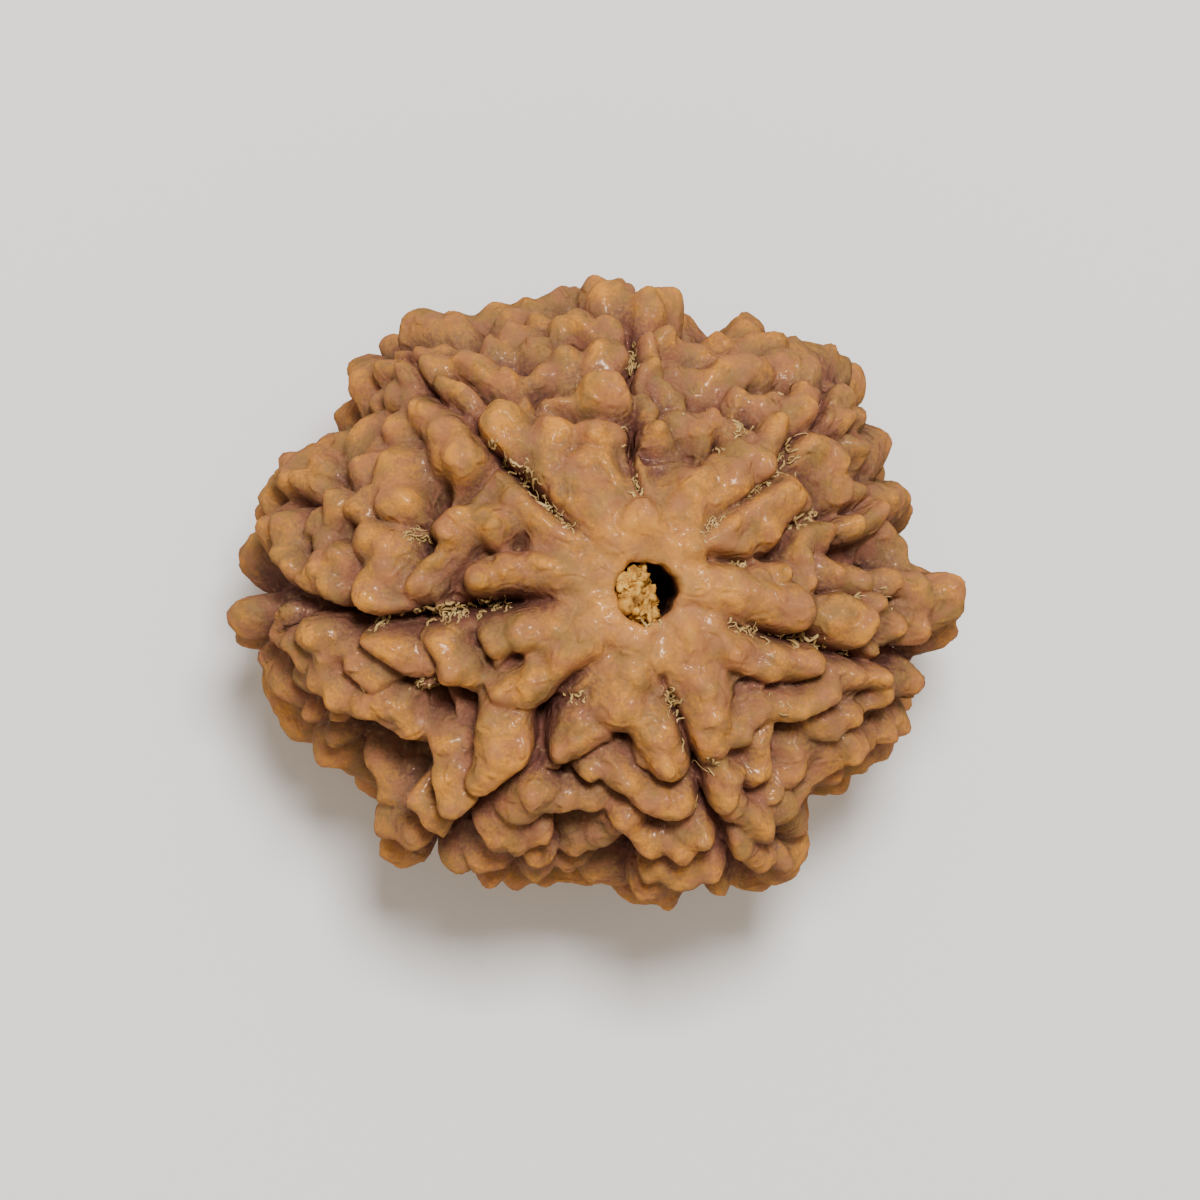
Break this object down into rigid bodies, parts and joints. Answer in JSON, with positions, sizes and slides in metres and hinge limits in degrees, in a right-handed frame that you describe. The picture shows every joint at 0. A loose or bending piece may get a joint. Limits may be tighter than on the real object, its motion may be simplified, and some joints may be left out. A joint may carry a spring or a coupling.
{
  "type": "rudraksha bead",
  "caption": "Knobbly round nut of seven furrowed faces, dried and drilled along its axis as a bead, resting on a flattened pole.",
  "frame": {"origin": "on the surface that the nut rests on, under the middle of the nut's box", "axes": "+Z along the canal, from the flattened lower pole to the upper mouth; +X along the nut's longest side"},
  "size_m": [0.0242, 0.0207, 0.0172],
  "materials": {
    "nut": "oiled, satin",
    "pith": "dry, matt"
  },
  "bodies": {
    "root": {"nut": "nut", "pith": "pith"}
  },
  "joints": []
}
